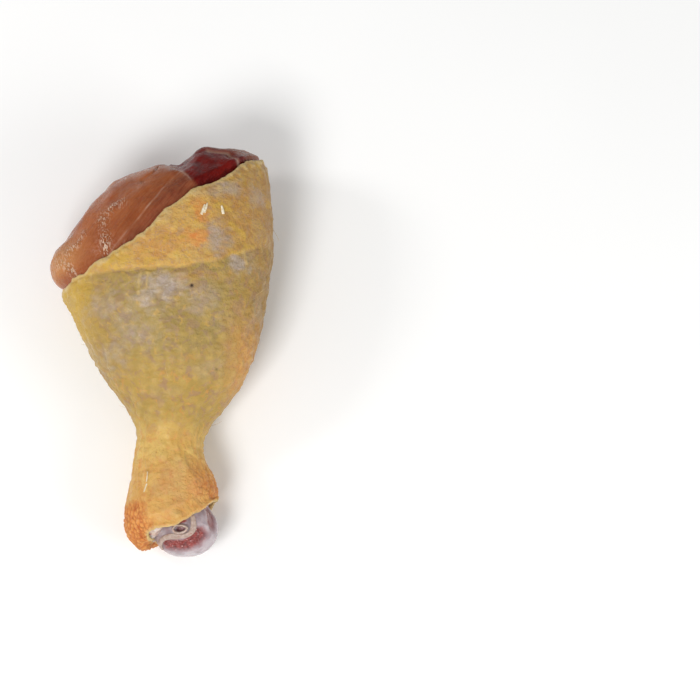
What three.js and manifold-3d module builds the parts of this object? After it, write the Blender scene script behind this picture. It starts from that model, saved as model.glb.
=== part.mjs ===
// A raw chicken drumstick lying on its flank, in millimetres.
//
// The leg runs along Y, with the hock joint at -Y and the knee at +Y, and +Z is up. It is four
// kinds of piece, one inside the other: the shin bone from joint to joint, the meat round it, the
// skin drawn over the meat like a sleeve, and the cut tendons that lie on the hock joint. The
// sleeve was cut off on the slant above the calf, so the meat bulges out of it there, and it stops
// short round the hock, where the white end of the bone shows.
// The origin is the middle of the underside of the whole leg's box.

import * as THREE from "three";
import { mergeVertices } from "three/addons/utils/BufferGeometryUtils.js";
import Module from "manifold-3d";

const SKIN = 1.4; // skin with the film of fat under it
const LIP = 0.9; // the skin where it thins at the hock
const GAP = 0.3; // between pieces that touch
const FLOOR = 0; // where the soft leg has settled flat
const CALF_TURN = Math.PI; // the side of the leg that the calf muscle is on, seen from the hock

// The leg's outer form, ring by ring from the hock to the knee: the middle of each ring, its half
// width and half height, and its lean, which is how much y changes for each millimetre of x.
const LEG_RINGS = [
  { at: "hock end", x: 8.2, y: -62.5, z: 12.2, wide: 0, tall: 0, lean: 0.8 },
  { at: "mouth of the skin", x: 7.2, y: -58.8, z: 12.3, wide: 9.9, tall: 10.9, lean: 0.745 },
  { at: "lip", x: 4.5, y: -55.6, z: 12.2, wide: 12.9, tall: 12.2, lean: 0.57 },
  { at: "knuckle", x: 3, y: -51.2, z: 12.1, wide: 14.4, tall: 12.6, lean: 0.33 },
  { at: "below the knuckle", x: 3.3, y: -43, z: 12.3, wide: 12.9, tall: 11.3, lean: 0.08 },
  { at: "ankle", x: 2.5, y: -34, z: 12.7, wide: 10.6, tall: 9.8, lean: 0 },
  { at: "foot of the calf", x: 3.5, y: -28, z: 13.6, wide: 11.1, tall: 10.7, lean: 0.03 },
  { at: "low calf", x: 5.3, y: -20, z: 16.3, wide: 16.1, tall: 14.9, lean: 0.1 },
  { at: "mid calf", x: 5.8, y: -8, z: 19.3, wide: 22.8, tall: 19.8, lean: 0.2 },
  { at: "high calf", x: 4.9, y: 9, z: 21.8, wide: 27.9, tall: 23.3, lean: 0.4 },
  { at: "belly", x: 3.1, y: 22, z: 22.7, wide: 30.1, tall: 24.2, lean: 0.55 },
  { at: "hem of the skin", x: 0.6, y: 32, z: 22.7, wide: 30.6, tall: 23.3, lean: 0.66 },
  { at: "bulge of bare meat", x: -2.2, y: 39, z: 22, wide: 30.4, tall: 20.8, lean: 0.56 },
  { at: "shoulder", x: -1.2, y: 48.5, z: 21.5, wide: 21.8, tall: 14.8, lean: 0.41 },
  { at: "knee end", x: -2.5, y: 52.6, z: 21, wide: 0, tall: 0, lean: 0.36 },
];
const MOUTH = 1; // the ring that the skin starts at
const MEAT_START = 0.014; // how far up the skin the meat starts, as a share of its length
const HEM = 11; // the ring that the skin ends at
const SQUEEZE = 0.55; // how many rings beyond the hem the meat takes to bulge out to its full size

// The shin bone: a spool of gristle at the hock, a slim shaft, and the broad head at the knee.
const BONE_RINGS = [
  { at: "hock face", x: 7.4, y: -66, z: 11.8, wide: 0, tall: 0, lean: 0 },
  { at: "edge of the hock face", x: 7.4, y: -64.9, z: 11.9, wide: 5.6, tall: 5.6, lean: 0 },
  { at: "hock spool", x: 7.5, y: -61.6, z: 12, wide: 8.7, tall: 8.8, lean: 0 },
  { at: "widest at the hock", x: 7.7, y: -57, z: 12.2, wide: 9.5, tall: 9.5, lean: 0 },
  { at: "back of the hock", x: 6.6, y: -50.6, z: 12.4, wide: 7.4, tall: 8.2, lean: 0 },
  { at: "lower shaft", x: 4.2, y: -42, z: 12.6, wide: 4.7, tall: 5.4, lean: 0 },
  { at: "ankle shaft", x: 4, y: -27, z: 13.6, wide: 3.8, tall: 4, lean: 0 },
  { at: "mid shaft", x: 8.5, y: 0, z: 17.4, wide: 3.8, tall: 4, lean: 0 },
  { at: "upper shaft", x: 12.8, y: 26, z: 18.8, wide: 4.2, tall: 4.3, lean: 0 },
  { at: "below the knee", x: 14.2, y: 38, z: 18.4, wide: 6, tall: 5.6, lean: 0.05 },
  { at: "knee head", x: 14.2, y: 48.5, z: 17.8, wide: 9.6, tall: 8.2, lean: 0.1 },
  { at: "edge of the knee face", x: 13.8, y: 55.4, z: 17.4, wide: 7.6, tall: 6.2, lean: 0.12 },
  { at: "knee face", x: 13.4, y: 57.2, z: 17.2, wide: 0, tall: 0, lean: 0.12 },
];
const MEAT_PIT = 4; // the ring of the bone that the meat closes on
const CONDYLE = 0.9; // depth of the groove round the middle of the knee head

// The tendons lie on the hock spool. Each stop of a route is a turn round the bone, in degrees
// from +X over the top, and a ring number along it.
const TENDON_ROUTE = [
  [79, 2.95],
  [76, 2.45],
  [83, 1.95],
  [100, 1.72],
  [120, 1.8],
  [142, 1.84],
  [160, 1.6],
  [174, 1.3],
  [182, 1.05],
];
const TENDON = { wide: 1.4, thick: 0.9 };
const SHEATH = { turn: 106, ring: 2.26, wide: 5, tall: 3.1, wall: 0.8, thick: 1.1 };

// The joint was cut open beside the tendon, down to the red marrow.
const MARROW_ROUTE = [
  [136, 1.5],
  [112, 1.36],
  [88, 1.42],
  [70, 1.86],
  [60, 2.3],
];
const MARROW = { wide: 3, deep: 0.9 };

const SEGMENTS = { around: 40, skinOut: 28, skinIn: 17, bareMeat: 12, bone: 24, ring: 3 };

const wasm = await Module();
wasm.setup();

// A loft through rings. A place on it is a ring number, and may lie between two rings. Each end
// closes to a round tip, because the curve runs on through a mirror image of the last ring but one.
class Loft {
  constructor(rings) {
    const mirrored = ({ wide, tall, ...rest }) => ({ ...rest, wide: -wide, tall: -tall });
    const all = [mirrored(rings[1]), ...rings, mirrored(rings.at(-2))];
    const curve = (pick) => new THREE.CatmullRomCurve3(all.map(pick), false, "catmullrom", 0.5);
    this.last = rings.length - 1;
    this.middles = curve((r) => new THREE.Vector3(r.x, r.y, r.z));
    this.sizes = curve((r) => new THREE.Vector3(r.wide, r.tall, r.lean));
  }

  // The point at a turn about the leg, in radians from +X towards +Z.
  point(turn, place) {
    const t = (place + 1) / (this.last + 2);
    const middle = this.middles.getPoint(t);
    const size = this.sizes.getPoint(t);
    const across = size.x * Math.cos(turn);
    const up = size.y * Math.sin(turn);
    return middle.add(new THREE.Vector3(across, size.z * across, up));
  }

  // The direction straight out of the surface. At a tip it is taken just beside the tip.
  outward(turn, place) {
    const beside = THREE.MathUtils.clamp(place, 0.05, this.last - 0.05);
    const step = 0.02;
    const round = this.point(turn + step, beside).sub(this.point(turn - step, beside));
    const along = this.point(turn, beside + step).sub(this.point(turn, beside - step));
    return along.cross(round).normalize();
  }

  // The point that lies deeper than the surface by so many millimetres.
  under(turn, place, depth) {
    return this.point(turn, place).addScaledVector(this.outward(turn, place), -depth);
  }

  // Ring numbers from one place to another that lie evenly along the surface.
  evenPlaces(from, to, steps) {
    const samples = 400;
    const places = Array.from({ length: samples + 1 }, (_, i) =>
      THREE.MathUtils.lerp(from, to, i / samples),
    );
    const lengths = [0];
    for (let i = 1; i <= samples; i++) {
      const near = [0, Math.PI / 2, Math.PI].map((turn) =>
        this.point(turn, places[i]).distanceTo(this.point(turn, places[i - 1])),
      );
      lengths.push(lengths[i - 1] + near[0] + near[1] + near[2]);
    }
    return Array.from({ length: steps + 1 }, (_, k) => {
      const wanted = (k / steps) * lengths[samples];
      const after = Math.max(1, lengths.findIndex((length) => length >= wanted - 1e-9));
      const share = (wanted - lengths[after - 1]) / (lengths[after] - lengths[after - 1]);
      return THREE.MathUtils.lerp(places[after - 1], places[after], share);
    });
  }
}

const leg = new Loft(LEG_RINGS);
const bone = new Loft(BONE_RINGS);

// A route over the bone's surface, whose x is the turn and whose y is the ring number.
function routeOnBone(stops) {
  return new THREE.CatmullRomCurve3(
    stops.map(([degrees, place]) => new THREE.Vector3(THREE.MathUtils.degToRad(degrees), place, 0)),
  );
}

const marrowStops = routeOnBone(MARROW_ROUTE)
  .getPoints(24)
  .map(({ x, y }) => bone.point(x, y));

// A point of the leg that lies under its outer surface, and no lower than the flat it rests on.
function inLeg(turn, place, depth) {
  const point = leg.under(turn, place, depth);
  point.z = Math.max(point.z, FLOOR + depth);
  return point;
}

// The hem of the skin isn't a straight cut: it dips a little on the upper side, towards the calf.
function hemPlace(turn) {
  return HEM - 0.34 * Math.exp(-(((turn - 2) / 0.55) ** 2)) + 0.05 * Math.sin(5 * turn);
}

// Nor is its edge at the hock, which draws back on the upper side where the tendon crosses.
function mouthPlace(turn) {
  return MOUTH + 0.6 * Math.exp(-(((turn - 2.35) / 0.45) ** 2));
}

// A closed form like a ball, whose rows run from its +Y tip to its -Y tip.
function ballForm(around, rows, pointAt) {
  const geometry = new THREE.SphereGeometry(1, around, rows);
  const position = geometry.attributes.position;
  for (let row = 0; row <= rows; row++) {
    for (let i = 0; i <= around; i++) {
      const turn = Math.PI - (2 * Math.PI * (i % around)) / around;
      const tip = row === 0 || row === rows;
      position.setXYZ(row * (around + 1) + i, ...pointAt(tip ? 0 : turn, row));
    }
  }
  return welded(geometry);
}

// A closed form like a ring doughnut, whose section runs through the stops of a profile.
function sleeveForm(around, stops, pointAt) {
  const geometry = new THREE.TorusGeometry(2, 1, stops, around);
  const position = geometry.attributes.position;
  for (let stop = 0; stop <= stops; stop++) {
    for (let i = 0; i <= around; i++) {
      const turn = (2 * Math.PI * (i % around)) / around;
      position.setXYZ(stop * (around + 1) + i, ...pointAt(turn, stop % stops));
    }
  }
  return welded(geometry);
}

function welded(geometry) {
  geometry.deleteAttribute("normal");
  geometry.deleteAttribute("uv");
  return mergeVertices(geometry);
}

function solidOf(geometry) {
  return new wasm.Manifold(
    new wasm.Mesh({
      numProp: 3,
      vertProperties: new Float32Array(geometry.attributes.position.array),
      triVerts: new Uint32Array(geometry.index.array),
    }),
  );
}

function geometryOf(solid) {
  const { vertProperties, triVerts } = solid.getMesh();
  return new THREE.BufferGeometry()
    .setAttribute("position", new THREE.BufferAttribute(vertProperties, 3))
    .setIndex(new THREE.BufferAttribute(triVerts, 1));
}

// Shares of the way from the mouth of the skin, 0, to its hem, 1, that lie evenly on the leg.
function sleeveShares(steps) {
  const places = leg.evenPlaces(HEM, MOUTH, steps);
  return places.map((place) => (place - MOUTH) / (HEM - MOUTH));
}

function sleevePlace(turn, share) {
  return THREE.MathUtils.lerp(mouthPlace(turn), hemPlace(turn), share);
}

// The skin is thinner where it was drawn tight over the hock.
function thickness(share) {
  return THREE.MathUtils.lerp(LIP, SKIN, Math.min(1, share * 8));
}

// The rows of the skin's inside, from the hem to the mouth, which the meat's rows match.
const INSIDE_SHARES = [...sleeveShares(SEGMENTS.skinIn).slice(0, -1), MEAT_START, 0];

// The skin: out over the surface from the hem to the mouth, round the lip, and back under it.
function skinForm() {
  const outside = sleeveShares(SEGMENTS.skinOut).map((share) => ({ share, depth: 0 }));
  const inside = INSIDE_SHARES.map((share) => ({ share, depth: thickness(share) }));
  const lip = { share: -0.006, depth: LIP / 2 };
  const edge = { share: 1.006, depth: SKIN / 2 };
  const profile = [...outside, lip, ...inside.reverse(), edge];
  return sleeveForm(SEGMENTS.around, profile.length, (turn, stop) => {
    const { share, depth } = profile[stop];
    return inLeg(turn, sleevePlace(turn, share), depth);
  });
}

// How far a place on the bone is sunk: into the cut down to the marrow at the hock, or into the
// groove between the two knuckles of the knee head.
function boneHollow(turn, place) {
  const point = bone.point(turn, place);
  const reach = marrowStops.reduce((least, stop) => Math.min(least, stop.distanceTo(point)), 99);
  const cut = MARROW.deep * Math.exp(-((reach / (MARROW.wide / 2)) ** 4));
  const toKnee = bone.last - place;
  const groove = CONDYLE * Math.exp(-((toKnee / 2.2) ** 4)) * Math.sin(turn) ** 6;
  return cut + Math.min(1, toKnee) * groove;
}

// The bone, or with a margin the room that it takes up in the meat.
function boneForm(margin) {
  const rows = bone.last * SEGMENTS.ring;
  return ballForm(SEGMENTS.bone, rows, (turn, row) => {
    const place = bone.last - row / SEGMENTS.ring;
    return bone.under(turn, place, margin > 0 ? -margin : boneHollow(turn, place));
  });
}

// The meat swells out of the sleeve beyond the hem, in the low lobes of its muscles.
function bareMeatPoint(turn, share) {
  const place = THREE.MathUtils.lerp(hemPlace(turn), leg.last, share);
  const lobes = 0.6 * (1 - share ** 2) * (1 - Math.cos(3 * (turn - CALF_TURN)));
  const swell = THREE.MathUtils.smoothstep((place - hemPlace(turn)) / SQUEEZE, 0.1, 1);
  return inLeg(turn, place, (SKIN + GAP) * (1 - swell) + lobes * swell);
}

// The meat fills the skin almost to its mouth, and closes on the bone behind the hock.
function meatForm() {
  const bare = leg
    .evenPlaces(leg.last, HEM, SEGMENTS.bareMeat)
    .map((place) => (place - HEM) / (leg.last - HEM))
    .slice(0, -1);
  const covered = INSIDE_SHARES.slice(0, -1);
  const { x, y, z } = BONE_RINGS[MEAT_PIT];
  const ball = ballForm(SEGMENTS.around, bare.length + covered.length, (turn, row) => {
    if (row < bare.length) return bareMeatPoint(turn, bare[row]);
    const share = covered[row - bare.length];
    if (share === undefined) return new THREE.Vector3(x, y, z);
    return inLeg(turn, sleevePlace(turn, share), thickness(share) + GAP);
  });
  return geometryOf(solidOf(ball).subtract(solidOf(boneForm(GAP))));
}

// The flat tendon that crosses the hock joint and turns down its side.
function tendonForm() {
  const rows = 24;
  const route = routeOnBone(TENDON_ROUTE);
  return ballForm(8, rows, (turn, row) => {
    const t = row / rows;
    const { x, y } = route.getPoint(t);
    const outward = bone.outward(x, y);
    const middle = bone.under(x, y, -(GAP + TENDON.thick / 2));
    const ahead = route.getPoint(Math.min(1, t + 0.01));
    const behind = route.getPoint(Math.max(0, t - 0.01));
    const backward = bone.point(behind.x, behind.y).sub(bone.point(ahead.x, ahead.y));
    const sideways = backward.cross(outward).normalize();
    const full = Math.sqrt(1 - (2 * t - 1) ** 10) / 2;
    middle.addScaledVector(sideways, TENDON.wide * full * Math.cos(turn));
    return middle.addScaledVector(outward, TENDON.thick * full * Math.sin(turn));
  });
}

// The gristle ring that a second tendon ran through, seated on the joint beside the first.
function sheathForm() {
  const { wide, tall, wall, thick } = SHEATH;
  const outline = new THREE.Shape().absellipse(0, 0, wide / 2, tall / 2);
  const hole = new THREE.Path().absellipse(0, 0, wide / 2 - wall, tall / 2 - wall);
  outline.holes.push(hole);
  return new THREE.ExtrudeGeometry(outline, {
    depth: thick,
    bevelEnabled: false,
    curveSegments: 10,
  });
}

function seatSheath(mesh) {
  const turn = THREE.MathUtils.degToRad(SHEATH.turn);
  const up = bone.outward(turn, SHEATH.ring);
  mesh.position.copy(bone.under(turn, SHEATH.ring, -GAP));
  mesh.quaternion.setFromUnitVectors(new THREE.Vector3(0, 0, 1), up);
}

const flesh = { color: 0xb06a4a, roughness: 0.35, metalness: 0 };
const yellowSkin = { color: 0xcfa96a, roughness: 0.45, metalness: 0 };
const gristle = { color: 0xd2c6c4, roughness: 0.25, metalness: 0 };
const sinew = { color: 0xe2d8cc, roughness: 0.3, metalness: 0 };

const drumstick = new THREE.Group();

function addPiece(name, geometry, finish) {
  const mesh = new THREE.Mesh(geometry, new THREE.MeshStandardMaterial(finish));
  mesh.name = name;
  drumstick.add(mesh);
  return mesh;
}

addPiece("skin", skinForm(), yellowSkin);
addPiece("meat", meatForm(), flesh);
addPiece("shin_bone", boneForm(0), gristle);
addPiece("hock_tendon", tendonForm(), sinew);
seatSheath(addPiece("tendon_sheath", sheathForm(), sinew));

// The whole leg moves so that the middle of its underside is the origin.
const box = new THREE.Box3().setFromObject(drumstick);
const middle = box.getCenter(new THREE.Vector3());
drumstick.position.set(-middle.x, -middle.y, -box.min.z);

export default drumstick;
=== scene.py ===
"""A raw chicken drumstick in its yellow skin, lying on a pale table.

The leg runs along Y, with the hock at -Y and the knee at +Y. It is put together from the inside
out: the shin bone, the meat round it, the skin, and then the tendons, quills and hairs on them.
Sizes are in metres, written as so many millimetres times MM. The tables of rings, and the detail
of each surface, are in plain millimetres from HOME, a point on the table under the leg.
"""

import math
import random

import bpy
import numpy as np
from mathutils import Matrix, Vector, kdtree, noise


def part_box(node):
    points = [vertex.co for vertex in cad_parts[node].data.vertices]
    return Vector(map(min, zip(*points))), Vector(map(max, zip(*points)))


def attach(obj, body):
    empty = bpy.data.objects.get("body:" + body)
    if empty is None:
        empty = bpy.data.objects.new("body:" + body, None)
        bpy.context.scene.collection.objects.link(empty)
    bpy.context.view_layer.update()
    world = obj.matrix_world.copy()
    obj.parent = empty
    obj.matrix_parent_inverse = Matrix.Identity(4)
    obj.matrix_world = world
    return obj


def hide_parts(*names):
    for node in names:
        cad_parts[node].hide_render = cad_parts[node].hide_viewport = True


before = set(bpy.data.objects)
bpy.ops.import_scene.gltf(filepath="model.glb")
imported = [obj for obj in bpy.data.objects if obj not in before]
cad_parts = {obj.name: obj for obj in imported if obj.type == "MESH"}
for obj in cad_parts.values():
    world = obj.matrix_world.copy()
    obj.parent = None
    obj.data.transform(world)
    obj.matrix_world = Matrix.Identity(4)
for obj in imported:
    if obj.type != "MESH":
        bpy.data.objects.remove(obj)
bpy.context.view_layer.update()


# --- The shin bone -------------------------------------------------------------------------
# The bone runs from the hock to the knee, thick at both ends and slim between. The ends are
# gristle, milky and wet. The hock was cut open, so red marrow shows in a crescent, and a dark
# pit is left at the side where a ligament was torn out.

MM = 0.001
TO_FAR_SIDE, TO_HOCK_TIP = 33.38 * MM, 66 * MM  # from HOME to the skin's side and the bone's tip
HOME = Vector((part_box("skin")[1].x - TO_FAR_SIDE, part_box("shin_bone")[0].y + TO_HOCK_TIP, 0))

# The middle of each ring, its half width and half height, all in millimetres from HOME, and its
# lean, which is how much y changes for each millimetre of x.
BONE_RINGS = [
    (7.4, -66, 11.8, 0, 0, 0),  # hock face
    (7.4, -64.9, 11.9, 5.6, 5.6, 0),
    (7.5, -61.6, 12, 8.7, 8.8, 0),
    (7.7, -57, 12.2, 9.5, 9.5, 0),
    (6.6, -50.6, 12.4, 7.4, 8.2, 0),  # back of the hock
    (4.2, -42, 12.6, 4.7, 5.4, 0),
    (4, -27, 13.6, 3.8, 4, 0),
    (8.5, 0, 17.4, 3.8, 4, 0),  # middle of the shaft
    (12.8, 26, 18.8, 4.2, 4.3, 0),
    (14.2, 38, 18.4, 6, 5.6, 0.05),
    (14.2, 48.5, 17.8, 9.6, 8.2, 0.1),  # knee head
    (13.8, 55.4, 17.4, 7.6, 6.2, 0.12),
    (13.4, 57.2, 17.2, 0, 0, 0.12),  # knee face
]


def loft(rings):
    """The surface through a table of rings, as a function of the turn about it, in radians from
    +X over the top, and the place along it, which is a ring number."""
    rings = np.array(rings) * ([MM] * 5 + [1])
    inside_out = [1, 1, 1, -1, -1, 1]
    table = np.vstack([rings[1] * inside_out, rings, rings[-2] * inside_out])

    def surface(turn, place):
        turn, place = np.broadcast_arrays(turn, place)
        before = np.clip(place.astype(int), 0, len(rings) - 2)
        w = (place - before)[..., None]
        a, b, c, d = (table[before + k] for k in range(4))
        # A smooth curve through each four rings that follow one another.
        ring = b + w / 2 * (c - a + w * (2 * a - 5 * b + 4 * c - d + w * (3 * (b - c) + d - a)))
        x, y, z, wide, tall, lean = np.moveaxis(ring, -1, 0)
        across = wide * np.cos(turn)
        spot = [HOME.x + x + across, HOME.y + y + lean * across, z + tall * np.sin(turn)]
        return np.stack(spot, -1)

    return surface


def turns(count, crowd=0.0):
    """Turns about the leg, crowded towards the upper side, where the finest detail is."""
    even = np.arange(count) / count * 2 * math.pi
    return even + crowd * np.cos(even)


def outward(grid):
    """The direction straight out of a grid of points, whose rows go round and climb along +Y."""
    out = np.cross(np.gradient(grid, axis=0), np.roll(grid, -1, 1) - np.roll(grid, 1, 1))
    return out / np.linalg.norm(out, axis=-1, keepdims=True)


def reach(points, route):
    """How far each point is from the nearest stop of a route."""
    return np.min([np.linalg.norm(points - stop, axis=-1) for stop in route], axis=0)


def near(distance, radius):
    """1 at no distance, falling softly to nothing beyond the radius."""
    return np.exp(-((distance / radius) ** 2))


def ramp(value, start, end):
    """0 before start, 1 after end, and smooth between."""
    t = np.clip((value - start) / (end - start), 0, 1)
    return t * t * (3 - 2 * t)


def lumps(points, size, seed=0, stretch=(1, 1, 1)):
    """Smooth noise from about -1 to 1 at each point, with lumps of that size."""
    shift = np.array((17.3, 5.1, -9.7)) * (seed + 1)
    spots = (points / (size * np.array(stretch)) + shift).reshape(-1, 3)
    return np.array([noise.noise(Vector(p)) for p in spots]).reshape(points.shape[:-1])


def route_on(surface, stops):
    """Points on a surface along a smooth route, whose stops are degrees of turn and a place."""
    stops = np.array([(math.radians(degrees), place) for degrees, place in stops])
    at = np.arange(len(stops))
    fine = np.linspace(0, len(stops) - 1, 12 * len(stops))
    curve = [np.interp(fine, at, stops[:, k]) for k in (0, 1)]
    soft = [np.convolve(np.pad(c, 6, "edge"), np.ones(13) / 13, "valid") for c in curve]
    return surface(*soft), soft


def piece(name, grid, masks=None, tips=True):
    """A mesh over a grid of points, with each mask painted on it. A tip closes it at each end,
    or its last row joins its first."""
    rows, across = grid.shape[:2]
    spots = grid.reshape(-1, 3)
    r, c = np.meshgrid(np.arange(rows - 1 if tips else rows), np.arange(across), indexing="ij")
    up, on = (r + 1) % rows, (c + 1) % across
    corners = [r * across + c, up * across + c, up * across + on, r * across + on]
    faces = np.stack(corners, -1).reshape(-1, 4).tolist()
    if tips:
        spots = np.vstack([spots, grid[0].mean(0), grid[-1].mean(0)])
        first, last, top = rows * across, rows * across + 1, (rows - 1) * across
        for k in range(across):
            after = (k + 1) % across
            faces += [(first, k, after), (last, top + after, top + k)]
    mesh = bpy.data.meshes.new(name)
    mesh.from_pydata(spots.tolist(), [], faces)
    mesh.polygons.foreach_set("use_smooth", [True] * len(mesh.polygons))
    for mask, values in (masks or {}).items():
        painted = values.reshape(-1)
        if tips:
            painted = np.append(painted, [values[0].mean(), values[-1].mean()])
        mesh.attributes.new(mask, "FLOAT", "POINT").data.foreach_set("value", painted.tolist())
    made = bpy.data.objects.new(name, mesh)
    bpy.context.scene.collection.objects.link(made)
    return made


def colour(red, green, blue):
    """A colour as the eye grades it, from 0 to 255, in the linear light that shaders use."""
    levels = [level / 255 for level in (red, green, blue)]
    return tuple(v / 12.92 if v < 0.04045 else ((v + 0.055) / 1.055) ** 2.4 for v in levels) + (1,)


class Finish:
    """A material that is built node by node."""

    def __init__(self, name, **shader):
        self.material = bpy.data.materials.new(name)
        self.material.use_nodes = True
        self.tree = self.material.node_tree
        self.shader = self.tree.nodes["Principled BSDF"]
        self.place = self.add("TexCoord").outputs["Object"]
        self.plug(self.shader, {key.replace("_", " "): value for key, value in shader.items()})

    def plug(self, node, sockets):
        for key, value in sockets.items():
            if isinstance(value, bpy.types.NodeSocket):
                self.tree.links.new(value, node.inputs[key])
            else:
                node.inputs[key].default_value = value

    def add(self, kind, sockets=None, **settings):
        node = self.tree.nodes.new("ShaderNode" + kind)
        for key, value in settings.items():
            setattr(node, key, value)
        self.plug(node, sockets or {})
        return node

    def mask(self, name):
        return self.add("Attribute", attribute_name=name).outputs["Fac"]

    def mottle(self, size, detail=3, stretch=(1, 1, 1), tilt=0, low=0.35, high=0.65, warp=0):
        """Cloudy noise from 0 to 1 whose clouds are about that size, and may be drawn out along
        axes that are tilted in plan."""
        scale = [size * s for s in stretch]
        sockets = {"Vector": self.place, "Rotation": (0, 0, tilt), "Scale": scale}
        turned = self.add("Mapping", sockets, vector_type="TEXTURE")
        sockets = {"Vector": turned.outputs[0], "Scale": 1, "Detail": detail, "Distortion": warp}
        cloud = self.add("TexNoise", sockets)
        return self.clip(cloud.outputs[0], low, high)

    def clip(self, value, low, high):
        sockets = {"Value": value, "From Min": low, "From Max": high}
        return self.add("MapRange", sockets, interpolation_type="SMOOTHSTEP").outputs[0]

    def maths(self, operation, first, second):
        return self.add("Math", {0: first, 1: second}, operation=operation).outputs[0]

    def mix(self, factor, first, second, blend="MIX"):
        sockets = {0: factor, 6: first, 7: second}
        return self.add("Mix", sockets, data_type="RGBA", blend_type=blend).outputs[2]

    def bump(self, height, distance, under=None):
        sockets = {"Height": height, "Distance": distance}
        if under:
            sockets["Normal"] = under
        return self.add("Bump", sockets).outputs[0]


# The rows lie close at both ends, where the bone shows.
bone = loft(BONE_RINGS)
bone_places = np.concatenate(
    [np.linspace(0.02, 4.4, 150), np.linspace(4.5, 8.6, 20), np.linspace(8.7, 11.98, 90)]
)[:, None]
bone_grid = bone(turns(180), bone_places)
bone_out = outward(bone_grid)

# What marks the gristle: each as stops of degrees of turn and a place.
marrow_route, _ = route_on(bone, [(144, 1.38), (116, 1.05), (90, 1.0), (70, 1.45), (60, 2.05)])
sheath_hole, _ = route_on(bone, [(96, 2.32), (103, 2.33)])
torn_pit, _ = route_on(bone, [(20, 3.8), (27, 3.4), (33, 2.9)])
raw_streak, _ = route_on(bone, [(118, 2.71), (104, 2.8), (92, 2.9)])

marrow = near(reach(bone_grid, marrow_route) + 0.35 * MM * lumps(bone_grid, 1.4 * MM), 2.9 * MM)
marrow = ramp(marrow + 0.12 * lumps(bone_grid, 2.5 * MM, 4), 0.12, 0.8)
pit_and_painted_hole_shade = near(reach(bone_grid, torn_pit), 2.5 * MM) + 0.15 * lumps(bone_grid, 2 * MM, 5)
pit_and_painted_hole_shade = ramp(pit_and_painted_hole_shade, 0.15, 0.9)
# Inside the sheath's ring the gristle is painted the pit's dark red too: painted shade down the tendon's
# hole.
pit_and_painted_hole_shade = np.maximum(pit_and_painted_hole_shade, ramp(near(reach(bone_grid, sheath_hole), 1.0 * MM), 0.25, 0.7))
streak = ramp(near(reach(bone_grid, raw_streak), 0.8 * MM), 0.2, 0.8)
groove = near(bone_grid[..., 1] - HOME.y - 57 * MM, 9 * MM)
groove *= near(bone_grid[..., 0] - HOME.x - 13.8 * MM, 2.2 * MM)
at_pole = ramp(12 - bone_places, 0.05, 0.5)
spongy = lumps(bone_grid, 0.7 * MM, 1) + 0.6 * lumps(bone_grid, 0.4 * MM, 2)
bone_relief = 0.25 * lumps(bone_grid, 6 * MM) + 0.06 * lumps(bone_grid, 1.5 * MM, 3)
bone_relief *= MM * at_pole
bone_relief -= marrow * (0.9 - 0.28 * spongy) * MM + pit_and_painted_hole_shade * 1.1 * MM + groove * 1.5 * MM

shin_bone = piece(
    "shin_bone_and_gristle",
    bone_grid + bone_out * bone_relief[..., None],
    {"marrow": marrow, "pit_and_painted_hole_shade": pit_and_painted_hole_shade, "streak": streak},
)

gristle = Finish(
    "gristle",
    Roughness=0.24,
    Specular_IOR_Level=0.55,
    Subsurface_Weight=0.45,
    Subsurface_Radius=(1.0, 0.6, 0.5),
    Subsurface_Scale=2.2 * MM,
    Coat_Weight=0.35,
    Coat_Roughness=0.12,
)
milky = gristle.mix(gristle.mottle(3.4 * MM), colour(152, 132, 137), colour(183, 170, 174))
milky = gristle.mix(gristle.mottle(1.4 * MM, low=0.55, high=0.8), milky, colour(168, 134, 139))
red = gristle.mix(gristle.mottle(1.2 * MM), colour(108, 24, 21), colour(150, 56, 50))
red = gristle.mix(gristle.mottle(0.6 * MM, low=0.6, high=0.72), red, colour(206, 148, 140))
milky = gristle.mix(gristle.mask("marrow"), milky, red)
# The torn pit's dark red, which in the sheath's hole is painted shade.
milky = gristle.mix(gristle.mask("pit_and_painted_hole_shade"), milky, colour(138, 76, 76))
milky = gristle.mix(gristle.mask("streak"), milky, colour(150, 70, 62))
gristle_bump = gristle.bump(gristle.mottle(0.5 * MM), 0.06 * MM)
gristle.plug(gristle.shader, {"Base Color": milky, "Normal": gristle_bump})
shin_bone.data.materials.append(gristle.material)
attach(shin_bone, "root")
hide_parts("shin_bone")


# --- The meat ------------------------------------------------------------------------------
# The muscles of the calf lie side by side round the bone, each in a thin silvery film. The skin
# holds them tight, and where it ends they bulge out of it: a broad tan one at the side, and
# darker red ones by the hem and at the knee, where the knife went through the joint.

LEG_RINGS = [
    (8.2, -62.5, 12.2, 0, 0, 0.8),  # hock end
    (7.2, -58.8, 12.3, 9.9, 10.9, 0.745),  # mouth of the skin
    (4.5, -55.6, 12.2, 12.9, 12.2, 0.57),
    (3, -51.2, 12.1, 14.4, 12.6, 0.33),  # knuckle
    (3.3, -43, 12.3, 12.9, 11.3, 0.08),
    (2.5, -34, 12.7, 10.6, 9.8, 0),  # ankle
    (3.5, -28, 13.6, 11.1, 10.7, 0.03),
    (5.3, -20, 16.3, 16.1, 14.9, 0.1),
    (5.8, -8, 19.3, 22.8, 19.8, 0.2),
    (4.9, 9, 21.8, 27.9, 23.3, 0.4),  # calf
    (3.1, 22, 22.7, 30.1, 24.2, 0.55),
    (0.6, 32, 22.7, 30.6, 23.3, 0.66),  # hem of the skin
    (-2.2, 39, 22, 30.4, 20.8, 0.56),
    (-1.2, 48.5, 21.5, 21.8, 14.8, 0.41),  # shoulder
    (-2.5, 52.6, 21, 0, 0, 0.36),  # knee end
]
MOUTH, HEM, LAST = 1, 11, 14
SKIN, LIP = 1.4 * MM, 0.9 * MM  # how thick the skin is, and where it thins at the hock

leg = loft(LEG_RINGS)


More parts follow.
